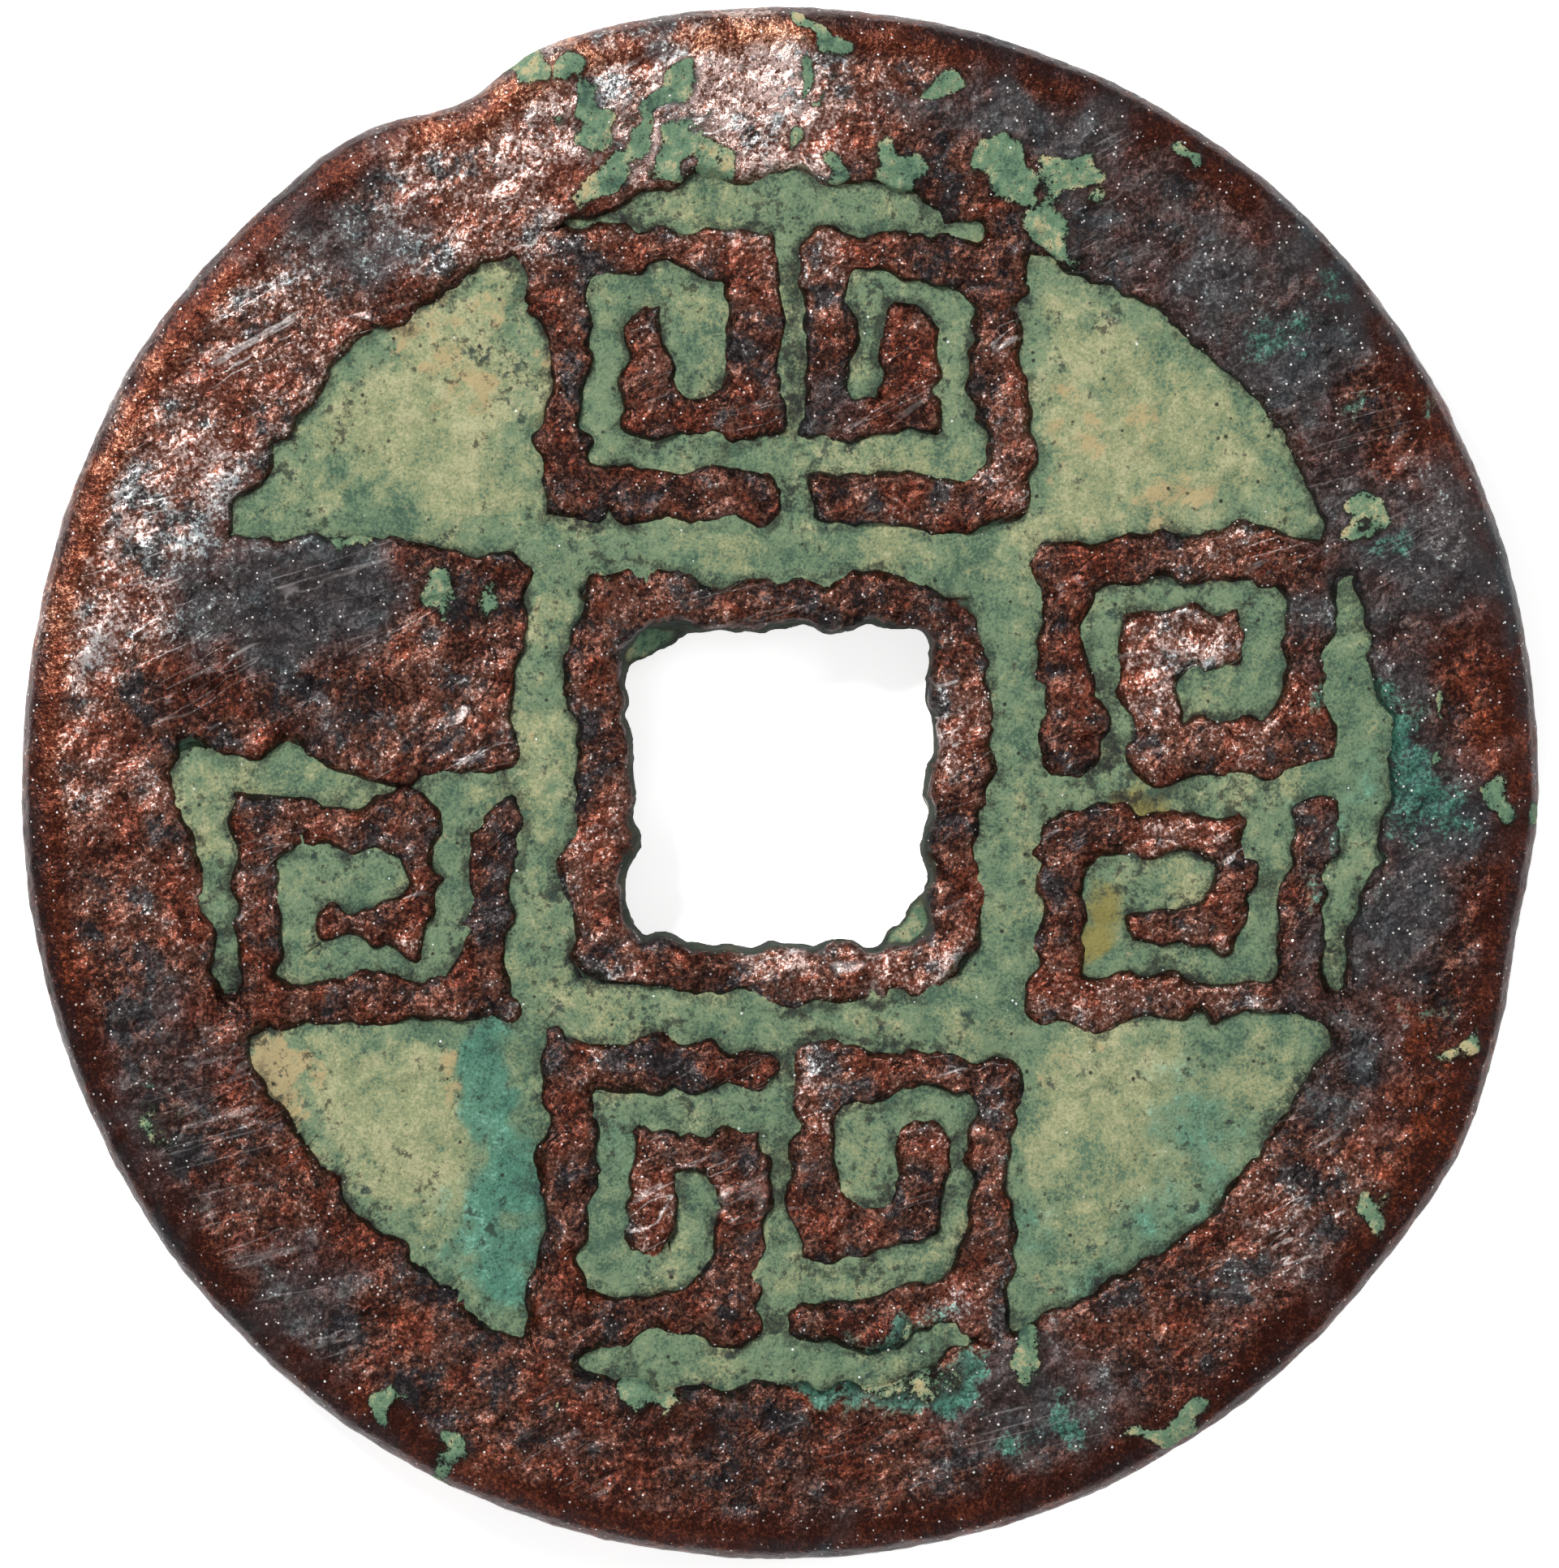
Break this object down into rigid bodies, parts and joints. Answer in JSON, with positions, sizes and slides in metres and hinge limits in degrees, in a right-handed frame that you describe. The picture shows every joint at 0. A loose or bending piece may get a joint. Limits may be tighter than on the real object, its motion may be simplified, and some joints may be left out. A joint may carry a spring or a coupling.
{
  "type": "cast copper cash coin",
  "caption": "Round cast copper cash coin with a square hole, broad raised outer rim, squared-spiral fret relief and mineral crusts in its field.",
  "frame": {"origin": "middle of the box round the coin, on the plane that its back rim rests on", "axes": "+Z out of the front face, +Y to the top of the front as pictured, +X to its right"},
  "size_m": [0.0248, 0.0252, 0.0018],
  "materials": {
    "cast_copper": "cast copper alloy, worn and patinated reddish brown",
    "green_crust": "matte grey-green and tan mineral crust"
  },
  "bodies": {
    "root": {"cast_body": "cast_copper", "crust_upper_left_field": "green_crust", "crust_upper_right_field": "green_crust", "crust_lower_left_field": "green_crust", "crust_lower_right_field": "green_crust", "crust_left_slot": "green_crust", "crust_right_slot": "green_crust", "crust_top_slot": "green_crust", "crust_bottom_slot": "green_crust", "crust_left_of_hole": "green_crust", "crust_right_of_hole": "green_crust", "crust_above_hole": "green_crust", "crust_below_hole": "green_crust", "crust_in_top_right_spiral": "green_crust", "crust_in_top_left_spiral": "green_crust", "crust_in_bottom_right_spiral": "green_crust", "crust_in_bottom_left_spiral": "green_crust", "crust_in_right_upper_spiral": "green_crust", "crust_in_right_lower_spiral": "green_crust", "crust_in_left_lower_spiral": "green_crust", "crust_between_top_spirals": "green_crust", "crust_between_bottom_spirals": "green_crust", "crust_between_left_spirals": "green_crust", "crust_between_right_spirals": "green_crust"}
  },
  "joints": []
}
